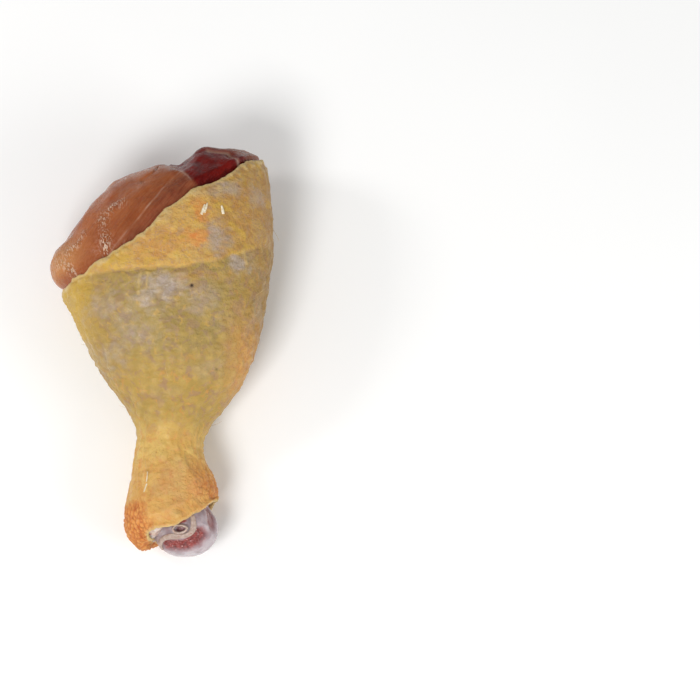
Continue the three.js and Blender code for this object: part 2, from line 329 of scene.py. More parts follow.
def hem_place(turn):
    return HEM - 0.34 * near(turn - 2, 0.55) + 0.05 * np.sin(5 * turn)


def mouth_place(turn):
    return MOUTH + 0.85 * near(turn - 2.25, 0.5) + 1.1 * near(2 * np.sin(turn / 2 + 0.16), 0.75)


def skinned_leg(turn, place):
    """The outside of the leg, where the skin turns in over the cut hock on its lower side."""
    base = leg(turn, place)
    share = (place - mouth_place(turn)) / (hem_place(turn) - mouth_place(turn))
    curl = 4.6 * MM * near(share, 0.036) * ramp(turn, 2.3, 3.0) * (1 - ramp(turn, 4.6, 5.4))
    return base - outward(base) * curl[..., None]


def thickness(share):
    return LIP + (SKIN - LIP) * np.clip(share * 8, 0, 1)


def settle(grid, depth):
    """The soft leg has settled flat on the table, and what is deeper in it stays above that."""
    grid[..., 2] = np.maximum(grid[..., 2], depth)
    return grid


def stroke(stops):
    """Close-set points along a line drawn in plan, from stop to stop, in millimetres."""
    stops = np.array(stops, float)
    at = np.linspace(0, len(stops) - 1, 16 * len(stops))
    return np.stack([np.interp(at, np.arange(len(stops)), stops[:, k]) for k in (0, 1)], -1)


def traced(plan, stops, radius):
    """1 along a line drawn in plan, falling softly to nothing beyond the radius."""
    return near(reach(plan, stroke(stops)), radius)


meat_turns = turns(380, 0.2)
hem = hem_place(meat_turns)
mouth = mouth_place(meat_turns)
covered_shares = np.concatenate([np.linspace(0.014, 0.1, 6), np.linspace(0.16, 0.9, 16)])
covered_places = mouth + (hem - mouth) * covered_shares[:, None]
bare_places = (hem - 0.8) + (LAST - 0.02 - hem + 0.8) * np.linspace(0, 1, 140)[:, None] ** 0.9
meat_places = np.vstack([covered_places, bare_places])
meat_base = skinned_leg(meat_turns, meat_places)
meat_out = outward(meat_base)

# The heads of the muscles at the knee, as x and z, with a seam between each and the next. The
# bone's head is in a socket among them.
TAN_HEADS = [(-15, 26), (-6, 12), (11, 6)]
RED_HEADS = [(13, 34), (27, 22), (13, 19)]
SOCKET_X, SOCKET_Z, SOCKET_WIDE, SOCKET_TALL = 13.8, 17.5, 9, 7.6

# The fibres and the long film run the same way in plan, and the fold by the red head lies nearly
# across them. Each line passes through a spot in plan.
GRAIN = (0.626, 0.78)
FILM_SPOT = (7.2, 47.6)
FOLD_SPOT, OVER_FOLD = (3.9, 48.7), (0.77, 0.635)
TOP_FILM = [(14, 53.5), (20, 53), (22.8, 50.5), (24.5, 48)]
HOLLOW = [(-22.6, 42.5), (-25.5, 35.5), (-29, 30)]

# The wet ridges that glint, and that carry painted glints, as stops in plan, with how wide and how
# strong each is.
RIDGES = [
    ([(-11.7, 36.3), (-15.3, 34.7), (-17.4, 32.7), (-18, 29.4), (-17.1, 26.8), (-16.5, 20.2)], 1.5, 1),
    ([(-23.4, 27), (-25.2, 24.3), (-27.7, 22.5), (-28.4, 19), (-26.9, 15.5)], 1.2, 1),
    ([(-30.6, 22.5), (-30.8, 18.5)], 1.1, 0.7),
]

x, y, z = np.moveaxis((meat_base - HOME) / MM, -1, 0)
upper = ramp(z, 22, 30)
bare = ramp((meat_places - hem) / 0.55, 0.1, 1)
knee = ramp(meat_places - hem, 1.4, 2.2)
sway_x, sway_z = 3.5 * lumps(meat_base, 6 * MM, 15), 3.5 * lumps(meat_base, 6 * MM, 16)
to_tan, to_red = (
    np.array([np.hypot(x + sway_x - hx, z + sway_z - hz) for hx, hz in heads])
    for heads in (TAN_HEADS, RED_HEADS)
)
to_heads = np.sort(np.vstack([to_tan, to_red]), axis=0)
seam = near(to_heads[1] - to_heads[0], 1.1) * knee * (0.6 + 0.6 * lumps(meat_base, 5 * MM, 17))
film_line = GRAIN[1] * (x - FILM_SPOT[0]) - GRAIN[0] * (y - FILM_SPOT[1])
film_line += 0.9 * lumps(meat_base, 9 * MM, 5)
along_line = GRAIN[0] * (x - FILM_SPOT[0]) + GRAIN[1] * (y - FILM_SPOT[1])
dark = ramp(film_line, -1.2, 3.2) * upper
on_top = ramp(z, 31, 36)
cross = OVER_FOLD[0] * (x - FOLD_SPOT[0]) + OVER_FOLD[1] * (y - FOLD_SPOT[1])
red_sway = lumps(meat_base, 3 * MM, 6) + 2.2 * lumps(meat_base, 6 * MM, 18) * (1 - ramp(z, 41, 45))
red_head = ramp(cross + red_sway, -1, 1.2) * on_top
red_head += ramp(to_tan.min(0) - to_red.min(0), -0.6, 0.8) * knee * (1 - on_top)
plan = np.stack([x, y], -1)
long_film = near(film_line, 0.24) * upper * ramp(-along_line, -4, 4)
long_film *= np.clip(0.22 + 0.4 * lumps(meat_base, 3 * MM, 7), 0, 1)
fold_wide = 0.75 - 0.08 * (x - 2)
short_film = near(cross - 0.5 * lumps(meat_base, 2 * MM, 8), fold_wide) * ramp(z, 35, 37.5)
short_film *= ramp(x, 1.5, 3.5) * (1 - ramp(x, 8, 10)) * 0.4
top_film = traced(plan, TOP_FILM, 0.5) * ramp(z, 29, 33)
ridges = sum(much * traced(plan, stops, wide) for stops, wide, much in RIDGES)
ridges = np.clip(ridges * (0.75 + 0.6 * lumps(meat_base, 3.5 * MM, 21)), 0, 1) * upper
rim = near(np.hypot(x + 29.5, (y - 19) * 0.8), 6)
notch = near(np.hypot(reach(plan, stroke(HOLLOW)), 0.7 * (z - 25)), 4.2)
dip = near(x - 5.2, 3.8) * ramp(y, 45, 51) * ramp(z, 10, 24)
nub = near(np.linalg.norm(np.stack([x + 22.5, y - 40, z - 26]), axis=0), 3.2)
to_socket = np.hypot((x - SOCKET_X) / SOCKET_WIDE, (z - SOCKET_Z) / SOCKET_TALL)
socket = 1 - ramp(to_socket, 0.95, 1.5)
ligament = near(to_socket - 1.22, 0.16) * knee
threads = np.stack(
    [(x * GRAIN[0] + y * GRAIN[1]) / 12, (x * GRAIN[1] - y * GRAIN[0]) / 0.9, z / 8], -1
)

# The relief in millimetres, and under the skin the skin's thickness instead.
meat_relief = 0.55 * lumps(meat_base, 11 * MM, 9) + 0.25 * lumps(meat_base, 4.5 * MM, 10)
meat_relief += 0.07 * lumps(threads, 1, 11) + 0.4 * rim + 0.9 * nub - 2.0 * notch - 3.0 * dip
meat_relief += ridges * (0.25 + 0.35 * lumps(meat_base, 1.1 * MM, 14))
meat_relief += 0.4 * ligament - 3.2 * socket * knee - 0.5 * top_film
meat_relief -= 1.0 * seam + 0.15 * near(film_line, 0.9) * upper + 0.3 * near(cross, 1) * red_head
meat_relief += 1.1 * red_head * lumps(meat_base, 5 * MM, 12) * ramp(y, 44, 52)
meat_relief += knee * (1.1 * (1 - to_heads[0] / 12) - 0.6)
lobes = 0.6 * (1 - ((meat_places - hem) / (LAST - hem)) ** 2) * (1 + np.cos(3 * meat_turns))
covered = thickness((meat_places - mouth) / (hem - mouth)) + 0.12 * MM
depth = covered * (1 - bare) + MM * (lobes - meat_relief) * bare
meat_grid = settle(meat_base - meat_out * depth[..., None], covered)

# At the hock the meat closes on the bone with a pad of white sinew and fat.
bone_ys = np.array([ring[1] for ring in BONE_RINGS])
pad_edge = np.clip((meat_grid[0, :, 1] - HOME.y) / MM + 1.5, -62, -50)
pad_foot = bone(meat_turns, np.interp(pad_edge, bone_ys, np.arange(len(bone_ys))))
pad_foot -= 0.6 * MM * outward(bone(meat_turns, np.array([[2.0], [2.1]])))[0]
across_pad = np.linspace(0, 0.95, 14)[:, None, None]
pad = pad_foot + (meat_grid[0] - pad_foot) * across_pad
pad[..., 1] += 0.35 * MM * lumps(pad, 1.6 * MM, 13) - 0.8 * MM * np.sin(across_pad[..., 0] * math.pi)
meat_grid = np.vstack([pad, meat_grid])


def padded_rows(values, fill):
    return np.vstack([np.full(pad.shape[:2], float(fill)), values])


fat = np.maximum(1 - ramp(meat_places, 2, 4), 0)
meat = piece(
    "leg_meat",
    meat_grid,
    {
        "dark": padded_rows(np.maximum(dark * 0.8, red_head), 0),
        "red": padded_rows(red_head, 0),
        "film": padded_rows(np.clip(long_film + short_film + 0.5 * top_film + 0.22 * seam, 0, 1), 0),
        "sinew": padded_rows(np.clip(ligament, 0, 1), 0),
        "wet_ridges_and_painted_glints": padded_rows(ridges, 0),
        "fat": padded_rows(fat, 1),
        "rim": padded_rows(rim * bare, 0),
        "deep": padded_rows(ramp(film_line, -15, -1) * upper, 0),
    },
)

flesh = Finish(
    "raw_flesh",
    Specular_IOR_Level=0.12,
    Subsurface_Weight=0.2,
    Subsurface_Radius=(1.0, 0.35, 0.2),
    Subsurface_Scale=1.2 * MM,
    Coat_Weight=0.05,
    Coat_Roughness=0.08,
)
# Tan meat browns and then reddens across the seams, with pale films and white fat over it, and painted
# glints along the wet ridges.
fibres = flesh.mottle(0.5 * MM, stretch=(16, 1, 1), tilt=math.atan2(GRAIN[1], GRAIN[0]))
tan = flesh.mix(flesh.mottle(8 * MM), colour(150, 78, 40), colour(168, 94, 50))
tan = flesh.mix(flesh.mottle(2.5 * MM, low=0.5, high=0.8), tan, colour(154, 80, 50))
tan = flesh.mix(flesh.mask("rim"), tan, colour(186, 128, 76))
tan = flesh.mix(flesh.maths("MULTIPLY", flesh.mask("deep"), 0.4), tan, colour(120, 62, 36))
brown = flesh.mix(flesh.mottle(5 * MM), colour(108, 50, 34), colour(130, 66, 44))
deep_red = flesh.mix(flesh.mottle(4 * MM), colour(82, 2, 1), colour(110, 14, 8))
deep_red = flesh.mix(flesh.maths("MULTIPLY", fibres, 0.35), deep_red, colour(124, 26, 16))
body = flesh.mix(flesh.mask("dark"), tan, brown)
body = flesh.mix(flesh.maths("MULTIPLY", fibres, 0.16), body, colour(190, 128, 88))
body = flesh.mix(flesh.mask("red"), body, deep_red)
body = flesh.mix(flesh.mask("film"), body, colour(206, 172, 152))
white_fat = flesh.mix(flesh.mottle(2 * MM), colour(196, 166, 150), colour(220, 204, 196))
white_fat = flesh.mix(flesh.mottle(1.2 * MM, low=0.58, high=0.7), white_fat, colour(164, 84, 80))
body = flesh.mix(flesh.maths("MAXIMUM", flesh.mask("fat"), flesh.mask("sinew")), body, white_fat)
# Painted glints: near-white flecks broken along the wet ridges, partly a pale film on them and partly
# painted highlight.
streaks = flesh.mottle(0.5 * MM, stretch=(1, 2.6, 1), tilt=0.3, low=0.52, high=0.6, warp=0.5)
painted_glints = flesh.maths("MULTIPLY", flesh.mask("wet_ridges_and_painted_glints"), streaks)
body = flesh.mix(flesh.maths("MULTIPLY", painted_glints, 0.75), body, colour(238, 212, 188))
# The ridges are wettest, and rippled.
dry = flesh.maths("MAXIMUM", flesh.mottle(3 * MM), 0.4)
dry = flesh.maths("MULTIPLY", dry, flesh.maths("SUBTRACT", 1, flesh.mask("wet_ridges_and_painted_glints")))
wetness = flesh.add("MapRange", {"Value": dry, "To Min": 0.06, "To Max": 0.4}).outputs[0]
flesh_bump = flesh.bump(flesh.mottle(1.6 * MM), 0.08 * MM)
flesh_bump = flesh.bump(fibres, 0.06 * MM, flesh_bump)
ripples = flesh.maths("MULTIPLY", flesh.mottle(0.6 * MM), flesh.mask("wet_ridges_and_painted_glints"))
flesh_bump = flesh.bump(ripples, 0.3 * MM, flesh_bump)
flesh.plug(flesh.shader, {"Base Color": body, "Roughness": wetness, "Normal": flesh_bump})
meat.data.materials.append(flesh.material)
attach(meat, "root")
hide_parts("meat")


# --- The skin ------------------------------------------------------------------------------
# The skin is a closed sleeve, a little over a millimetre thick with its fat, from the hock to a
# slanting cut above the calf. The feathers left low pimples in rows. A fold crosses it below the
# hem, it wrinkles at the ankle, and it is thick, scaly and orange where the leg's scales began.

SKIN_AROUND, SKIN_ALONG = 300, 270
random.seed(4)

skin_turns = turns(SKIN_AROUND, 0.3)


def even_shares(count):
    """Shares of the way from mouth to hem that lie evenly along the leg."""
    places = np.linspace(MOUTH, HEM, 600)
    sides = leg(np.array([0, 0.5, 1]) * math.pi, places[:, None])
    steps = np.linalg.norm(np.diff(sides, axis=0), axis=-1).sum(1)
    far = np.concatenate([[0], np.cumsum(steps)])
    return (np.interp(np.linspace(0, far[-1], count), far, places) - MOUTH) / (HEM - MOUTH)


def skin_place(turn, share):
    round_cut = np.stack([np.cos(turn), np.sin(turn), 0 * turn], -1) * 28 * MM
    ragged = 0.14 * lumps(round_cut, 6 * MM, 60) + 0.06 * lumps(round_cut, 1.5 * MM, 61)
    hem, mouth = hem_place(turn) + ragged, mouth_place(turn) + ragged
    return mouth + (hem - mouth) * share


shares = even_shares(SKIN_ALONG)[:, None]
skin_places = skin_place(skin_turns, shares)
skin_base = skinned_leg(skin_turns, skin_places)
skin_out = outward(skin_base)
x, y, z = np.moveaxis((skin_base - HOME) / MM, -1, 0)
upper = ramp(np.sin(skin_turns), -0.1, 0.5) + 0 * x

# The fold: a flap above a crease that curves up towards the outer side.
crease = y - (13.4 + 0.0095 * np.maximum(0, x + 2) ** 2)
crease += 0.6 * lumps(skin_base, 7 * MM, 20) + 0.35 * lumps(skin_base, 2.5 * MM, 46)
fold_fades = upper * (1 - 0.75 * ramp(x, 6, 26)) * (0.85 + 0.5 * lumps(skin_base, 8 * MM, 47))
flap = ramp(crease, -0.2, 0.9) * np.exp(-np.maximum(crease, 0) / 6)
above = ramp(crease, -0.5, 1) * upper
fold_relief = fold_fades * (0.75 * flap - 0.45 * near(crease, 0.7))

# The pimples: rows of them round the leg, each a little off its place, with some left out.
PIMPLE_GAP = 4.3 * MM
pimples = []
row_count = int(118 * MM / (PIMPLE_GAP * 0.87))
for k, share in enumerate(even_shares(row_count)[1:-1]):
    ring = leg(skin_turns[::10], skin_place(skin_turns[::10], share))
    girth = np.linalg.norm(ring - np.roll(ring, 1, 0), axis=-1).sum()
    in_row = int(girth / PIMPLE_GAP)
    for i in range(in_row):
        turn = (i + (k % 2) / 2 + random.uniform(-0.16, 0.16)) / in_row * 2 * math.pi
        off = share + random.uniform(-0.16, 0.16) / row_count
        pimples.append((turn % (2 * math.pi), off, random.uniform(0.3, 1), random.random()))
pimples = np.array(pimples)
pimple_spots = leg(pimples[:, 0], skin_place(pimples[:, 0], pimples[:, 1]))
tree = kdtree.KDTree(len(pimple_spots))
for k, spot in enumerate(pimple_spots):
    tree.insert(spot, k)
tree.balance()
nearest = [tree.find(spot)[1:] for spot in skin_base.reshape(-1, 3).tolist()]
which = np.array([found[0] for found in nearest]).reshape(x.shape)
gap = np.array([found[1] for found in nearest]).reshape(x.shape) / MM
strength = (0.45 + 0.55 * pimples[which, 2]) * (pimples[which, 3] > 0.12)
strength *= 0.6 + 0.4 * ramp(lumps(skin_base, 12 * MM, 21), -0.3, 0.4)
strength *= 1 - 0.5 * above
strength *= (0.3 + 0.7 * ramp(y, -52, -30)) * (0.6 + 0.4 * ramp(-y, -8, 12))
bump_width = 1.0 + 0.45 * pimples[which, 3]
pimple = near(gap, bump_width) * strength
pore = near(gap, 0.22) * strength * (pimples[which, 3] > 0.5)

# The scaly knuckle, on the calf side and again on the other side of the joint.
knuckle = ramp(-y, 49, 53.5) * ramp(skin_turns, 1.9, 2.35) * (1 - ramp(skin_turns, 4.2, 4.8))
knuckle_far = near(np.hypot((y + 46.5) * 0.8, (z - 15) * 0.6), 6.4) * ramp(x, 7.5, 11.5)
scaly = np.maximum(knuckle, knuckle_far * 0.6)
scales = np.zeros_like(x)
for spot in np.argwhere(scaly > 0.02):
    at = tuple(spot)
    cell = noise.voronoi(Vector(skin_base[at] / (1.25 * MM) * (1, 0.75, 1)))[0]
    scales[at] = min(1, (cell[1] - cell[0]) * 3.5)

# Wrinkles run lengthways over the neck of the leg and slantwise over the knuckle.
neck = ramp(-y, 12, 34) * (1 - 0.4 * ramp(-y, 54, 60))
round_leg = (skin_turns * 10 * MM)[None, :] + 0 * x
lengthways = np.stack([round_leg / 2.1, (y * MM) / 9 + round_leg * 0.05, 0 * x], -1)
wrinkle = 1 - np.abs(lumps(lengthways, MM, 22)) * 2.2

# The folds of the ankle, as stops of turn and place, with how wide and how high each is.
ANKLE_FOLDS = [
    ([(126, 4.1), (122, 3.6), (118, 3.1), (117, 2.7)], 0.9, 0.5),
    ([(74, 4.9), (68, 4.3), (60, 3.6), (56, 3.1)], 1.3, 0.45),
    ([(140, 3.1), (128, 2.6), (112, 2.5), (96, 2.4), (80, 2.5)], 1.1, 0.45),
]
folds = sum(
    high * near(reach(skin_base, route_on(leg, stops)[0]), wide * MM)
    for stops, wide, high in ANKLE_FOLDS
)

# Threads of skin pulled up here and there, as stops in plan, with how wide each is.
PULLS = [
    ([(-5.4, 13), (-6.2, 10), (-6.4, 6.5)], 0.4),
    ([(-3.4, 12.6), (-3.9, 9)], 0.35),
    ([(24.6, 21), (25.4, 17.5)], 0.45),
    ([(5.0, 17.4), (5.3, 15.8)], 0.45),
]

crepe = lumps(skin_base, 1.5 * MM, 23) + 0.6 * lumps(skin_base, 0.8 * MM, 24)
warp = 1.2 * MM * lumps(skin_base, 5 * MM, 27)[..., None]
drawn = 1 - np.abs(lumps(skin_base + warp, 1.2 * MM, 28, stretch=(4.5, 1, 2))) * 2.4
drawn_upright = 1 - np.abs(lumps(skin_base + warp, 1.1 * MM, 29, stretch=(1, 4, 2))) * 2.4
plan = np.stack([x, y], -1)
pulls = sum(traced(plan, stops, wide) for stops, wide in PULLS) * upper
lip_nub = near(np.linalg.norm(np.stack([x - 5.1, y + 56.3, z - 24.2]), axis=0), 1.1)
corner = near(np.hypot(x + 30, y - 8), 8)
hem_fat = ramp(lumps(skin_base, 1.8 * MM, 34), -0.05, 0.3) * near(1 - shares, 0.026)

# The relief in millimetres.
skin_relief = 0.5 * lumps(skin_base, 16 * MM, 25) + 0.34 * lumps(skin_base, 6 * MM, 26)
skin_relief += (0.24 - 0.14 * neck) * lumps(skin_base, 3 * MM, 35) + 0.1 * crepe + fold_relief
skin_relief += 0.55 * pimple - 0.1 * pore - 0.8 * corner
skin_relief += 0.19 * drawn * (1 - above) * ramp(y, -34, -20) + 0.06 * drawn_upright * above
skin_relief += neck * (0.26 * wrinkle - 0.1) + folds * ramp(-y, 34, 40)
skin_relief += scaly * (0.56 * scales - 0.26) + 0.45 * pulls + 0.7 * lip_nub + 0.35 * hem_fat
skin_relief -= 0.35 * near(shares, 0.012) + 0.2 * near(1 - shares, 0.01)
skin_relief -= (0.6 + 0.3 * knuckle) * ramp(-y, 14, 26) * ramp(shares, 0, 0.04)


# The skin is thin and lilac in some patches and orange in others. Each has its x and y, its
# radius, how much longer it is in x, and how strong it is.
THIN_PATCHES = [
    (1.8, 8.2, 3.6, 2.0, 0.9),
    (-3.5, 4.6, 2.6, 1.5, 0.8),
    (17, 23, 4.2, 0.9, 0.75),
    (23.8, 16.7, 2.6, 1, 0.9),
    (-16.5, 4, 3.6, 1.5, 0.45),
    (19.5, 40, 2.6, 1.5, 0.7),
    (-13.5, -8.5, 3.5, 1, 0.5),
    (-7.5, -3.5, 4, 1.4, 0.4),
    (13.5, 4.5, 4, 1.3, 0.4),
    (28, 39, 3, 0.8, 0.45),
]
ORANGE_PATCHES = [
    (12.2, 31.2, 2.8, 0.8, 0.75),
    (9.8, 23.6, 2.7, 1.4, 0.9),
    (-2, 21, 4.5, 1.6, 0.2),
    (11.5, 12, 2, 3, 0.2),
]


def patch(px, py, radius, seed, stretch=1.0):
    """A soft-edged patch on the upper side of the skin, round a place in millimetres."""
    ragged = 0.8 * lumps(skin_base, 4 * MM, seed)
    ragged += 0.7 * lumps(skin_base, 1.2 * MM, seed + 1, stretch=(2.6, 1, 2))
    away = np.hypot((x - px) / stretch, y - py) + radius * ragged
    return ramp(radius - away, -0.6 * radius, 0.7 * radius) * upper


def patches(table, seed):
    """The strongest of many patches at each spot."""
    each = [
        much * patch(px, py, radius, seed + k, stretch)
        for k, (px, py, radius, stretch, much) in enumerate(table)
    ]
    return np.max(each, axis=0)


thin = patches(THIN_PATCHES, 30)
thin = np.maximum(thin, 0.25 * ramp(lumps(skin_base, 8 * MM, 45), 0.18, 0.5) * (1 - 0.7 * above))
thin *= 1 - ramp(-y, 12, 30)
thin = np.maximum(thin, 0.22 * patch(5.5, -47.5, 7, 64))

warm = 0.36 * ramp(-y, 32, 46) + 0.2 * lumps(skin_base, 5 * MM, 63) * ramp(-y, 28, 40)
# A painted warm glow: orange down the right side of the calf.
painted_side_glow = ramp(x + 2 * lumps(skin_base, 5 * MM, 62), 16, 25) * ramp(-y, -8, 10)
painted_side_glow *= 0.5 * (1 - ramp(-y, 20, 30))
orange = np.max([patches(ORANGE_PATCHES, 50), warm, knuckle, knuckle_far, painted_side_glow], axis=0)

# Dark specks, each with its x and y, its size and how strong it is.
DOTS = [
    (9.6, 8.8, 0.42, 1.7),
    (20.7, 1.3, 0.35, 0.6),
    (16.8, -13.6, 0.35, 0.6),
    (23.1, 40.6, 0.35, 0.6),
]
dots = sum(much * near(np.hypot(x - dx, y - dy), size) * upper for dx, dy, size, much in DOTS)
dots = np.clip(dots, 0, 1)

# The skin is more golden towards the hock and yolk yellow in spots, and painted shade darkens it down
# its sides.
gold = 0.5 * ramp(-y, 2, 22) + 0.5 * ramp(-y, 22, 36) + 0.2 * lumps(skin_base, 8 * MM, 60)
gold = np.clip(gold, 0, 1)
gold = np.maximum(gold, 0.5 * (1 - ramp(x, -29, -18)) * ramp(y, -20, 0))
gold = np.maximum(gold, 0.4 * ramp(x, 14, 26) * upper)
# Painted shade: darker brown down the right side, over the right of the flap and down the left side
# below the flap.
painted_side_shade = np.maximum(ramp(x, 20, 33) * ramp(y, -16, 0), 0.6 * above * ramp(x, 8, 22))
painted_side_shade = np.maximum(painted_side_shade, 0.45 * (1 - ramp(x, -22, -6)) * (1 - above))
yolk = patch(17.5, 43.5, 1.6, 70, 1.6) + patch(13.6, 41.2, 1.2, 71) + 0.8 * patch(-12, 18, 3, 72, 1.8)
side_yolk = (1 - ramp(x, -27, -14)) * (1 - above) * ramp(y, -40, -20)
yolk += 0.85 * side_yolk + 0.7 * ramp(lumps(skin_base, 3.4 * MM, 73), 0.22, 0.5) * above
yolk = np.clip(yolk, 0, 1)

# The sleeve's section: out along the skin, round the hem, back inside, and round the mouth.
skin_top = skin_base + skin_out * (skin_relief * MM)[..., None]
along = np.gradient(skin_base, axis=0)
along /= np.linalg.norm(along, axis=-1, keepdims=True)
inner_rows = np.linspace(SKIN_ALONG - 1, 0, 26).astype(int)


def rounded(row, thick, sense):
    """The cut edge of the skin, as a half round from its outer face to its inner one."""
    for angle in sense * np.radians([30, 60, 90, 120, 150])[:: int(sense)]:
        deep, beyond = thick / 2 * (1 - math.cos(angle)), 0.5 * thick * math.sin(angle)
        yield skin_top[row] - skin_out[row] * deep + along[row] * beyond


hem_edge = list(rounded(-1, SKIN * 0.85, 1))
lip_edge = list(rounded(0, LIP, -1))
inside = [skin_base[r] - skin_out[r] * thickness(shares[r]) for r in inner_rows]
rows_used = [*range(SKIN_ALONG), *[-1] * len(hem_edge), *inner_rows, *[0] * len(lip_edge)]
floor_depth = np.zeros((len(rows_used), 1))
floor_depth[SKIN_ALONG + len(hem_edge) : -len(lip_edge)] = [thickness(shares[r]) for r in inner_rows]
skin_grid = settle(np.array([*skin_top, *hem_edge, *inside, *lip_edge]), floor_depth)
cut = np.zeros(skin_grid.shape[:2])
cut[SKIN_ALONG:] = 1
cut[:SKIN_ALONG] = np.clip(0.8 * near(1 - shares, 0.006) + 0.6 * near(shares, 0.01) + hem_fat, 0, 1)

skin_masks = {"thin": thin, "orange": orange, "gold": gold, "flap": above, "yolk": yolk,
              "pimple": np.clip(pimple + pulls + 0.8 * lip_nub, 0, 1), "dots": dots, "pore": pore,
              "scales": scales * scaly, "gaps": (1 - scales) * scaly, "painted_side_shade": painted_side_shade}
skin_masks = {name: mask[rows_used] for name, mask in skin_masks.items()}
skin_masks["cut"] = cut
skin = piece("yellow_skin", skin_grid, skin_masks, tips=False)

hide = Finish(
    "raw_skin",
    Specular_IOR_Level=0.2,
    Subsurface_Weight=0.2,
    Subsurface_Radius=(1.0, 0.6, 0.25),
    Subsurface_Scale=0.7 * MM,
    Coat_Weight=0.06,
    Coat_Roughness=0.2,
)
# The colours go from the calf's khaki through honey to the hock's gold, with the flap's over them, then
# painted shade down the sides, then the patches and then the marks.
khaki = hide.mix(hide.mottle(5 * MM, warp=1), colour(150, 129, 76), colour(165, 139, 73))
khaki = hide.mix(hide.mottle(3.4 * MM, low=0.48, high=0.62, warp=1), khaki, colour(151, 124, 89))
khaki = hide.mix(hide.mottle(2.4 * MM, low=0.56, high=0.7, warp=1), khaki, colour(180, 146, 76))
honey = hide.mix(hide.mottle(4 * MM, warp=1), colour(166, 138, 71), colour(178, 147, 75))
honey = hide.mix(hide.mottle(3 * MM, low=0.5, high=0.66, warp=1), honey, colour(162, 128, 90))
honey = hide.mix(hide.mottle(2.2 * MM, low=0.56, high=0.7, warp=1), honey, colour(190, 142, 74))
golden = hide.mix(hide.mottle(5 * MM), colour(206, 164, 88), colour(218, 184, 106))
golden = hide.mix(hide.mottle(1.8 * MM, low=0.5, high=0.7), golden, colour(212, 158, 90))
flap_tint = hide.mix(hide.mottle(3.5 * MM, warp=1), colour(188, 142, 78), colour(206, 168, 92))
flap_tint = hide.mix(hide.mottle(2 * MM, low=0.54, high=0.7, warp=1), flap_tint, colour(182, 144, 100))
flap_tint = hide.mix(hide.mottle(1.2 * MM, low=0.55, high=0.7, warp=1), flap_tint, colour(186, 148, 110))
flap_tint = hide.mix(hide.mottle(0.9 * MM, low=0.58, high=0.7, warp=1), flap_tint, colour(212, 160, 76))
tint = hide.mix(hide.clip(hide.mask("gold"), 0, 0.5), khaki, honey)
tint = hide.mix(hide.clip(hide.mask("gold"), 0.5, 1), tint, golden)
tint = hide.mix(hide.mask("flap"), tint, flap_tint)
# Painted shade down the sides of the leg.
tint = hide.mix(hide.maths("MULTIPLY", hide.mask("painted_side_shade"), 0.5), tint, colour(144, 98, 48))
tint = hide.mix(hide.maths("MULTIPLY", hide.mask("yolk"), 0.7), tint, colour(206, 168, 62))
lilac = hide.mix(hide.mottle(2 * MM, warp=1), colour(158, 142, 126), colour(176, 160, 150))
tint = hide.mix(hide.mask("thin"), tint, lilac)
amber = hide.mix(hide.mottle(1.6 * MM), colour(208, 128, 64), colour(216, 152, 84))
tint = hide.mix(hide.mask("orange"), tint, amber)
for mark, much, shade_of_mark in (
    ("pimple", 0.6, colour(200, 170, 102)),
    ("pore", 0.5, colour(150, 104, 58)),
    ("scales", 0.4, colour(232, 164, 88)),
    ("gaps", 0.75, colour(176, 84, 42)),
):
    tint = hide.mix(hide.maths("MULTIPLY", hide.mask(mark), much), tint, shade_of_mark)
tint = hide.mix(hide.mask("cut"), tint, colour(204, 176, 120))
tint = hide.mix(hide.mask("dots"), tint, colour(34, 18, 14))
streaky = hide.mottle(0.45 * MM, low=0.3, high=0.7)
tint = hide.mix(hide.maths("MULTIPLY", streaky, 0.12), tint, colour(146, 112, 66))
dull = hide.maths("SUBTRACT", hide.mottle(4 * MM), hide.maths("MULTIPLY", hide.mask("thin"), 1.6))
dull = hide.add("MapRange", {"Value": dull, "To Min": 0.36, "To Max": 0.56, "From Min": 0}, clamp=False)
hide_bump = hide.bump(hide.mottle(1.1 * MM), 0.12 * MM)
hide_bump = hide.bump(hide.mottle(0.4 * MM), 0.035 * MM, hide_bump)
hide.plug(hide.shader, {"Base Color": tint, "Roughness": dull.outputs[0], "Normal": hide_bump})
skin.data.materials.append(hide.material)
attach(skin, "root")
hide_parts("skin")


# --- The tendons ---------------------------------------------------------------------------
# A flat white tendon crosses the cut hock and turns down its side, and a ring of gristle beside
# it is the sheath that a second tendon slid in. Both are smooth, wet and faintly striped.


NUDGE = 0.01  # a small turn, or a small part of a ring, to find a direction with


def band(surface, stops, wide, thick, lift, sections=20):
    """A flat strap that follows a route over a surface, with rounded edges and ends."""
    middles, (turn, place) = route_on(surface, stops)
    out = np.cross(
        surface(turn, place + NUDGE) - surface(turn, place - NUDGE),
        surface(turn + NUDGE, place) - surface(turn - NUDGE, place),
    )
    out /= np.linalg.norm(out, axis=-1, keepdims=True)
    ahead = np.gradient(middles, axis=0)
    side = np.cross(out, ahead)
    side /= np.linalg.norm(side, axis=-1, keepdims=True)
    t = np.linspace(-0.995, 0.995, len(middles))
    full = np.sqrt(1 - np.abs(t) ** 10)[:, None, None]
    angle = turns(sections)[None, :, None]
    wave = 1 + 0.1 * np.sin(9 * t)[:, None, None]
    ring = side[:, None] * np.cos(angle) * wide / 2 * wave
    ring += out[:, None] * np.sin(angle) * thick / 2
    return middles[:, None] + out[:, None] * (lift + thick / 2) + ring * full


# The tendon's stops, as degrees of turn and a place on the bone.
TENDON_START = [(80, 3.5), (77, 2.9), (75, 2.35), (83, 1.93), (101, 1.86)]
TENDON_END = [(122, 1.92), (142, 1.84), (160, 1.6), (176, 1.2)]
tendon_grid = band(bone, TENDON_START + TENDON_END, 1.7 * MM, 0.8 * MM, lift=-0.12 * MM)
tendon = piece("hock_tendon_strap", tendon_grid)

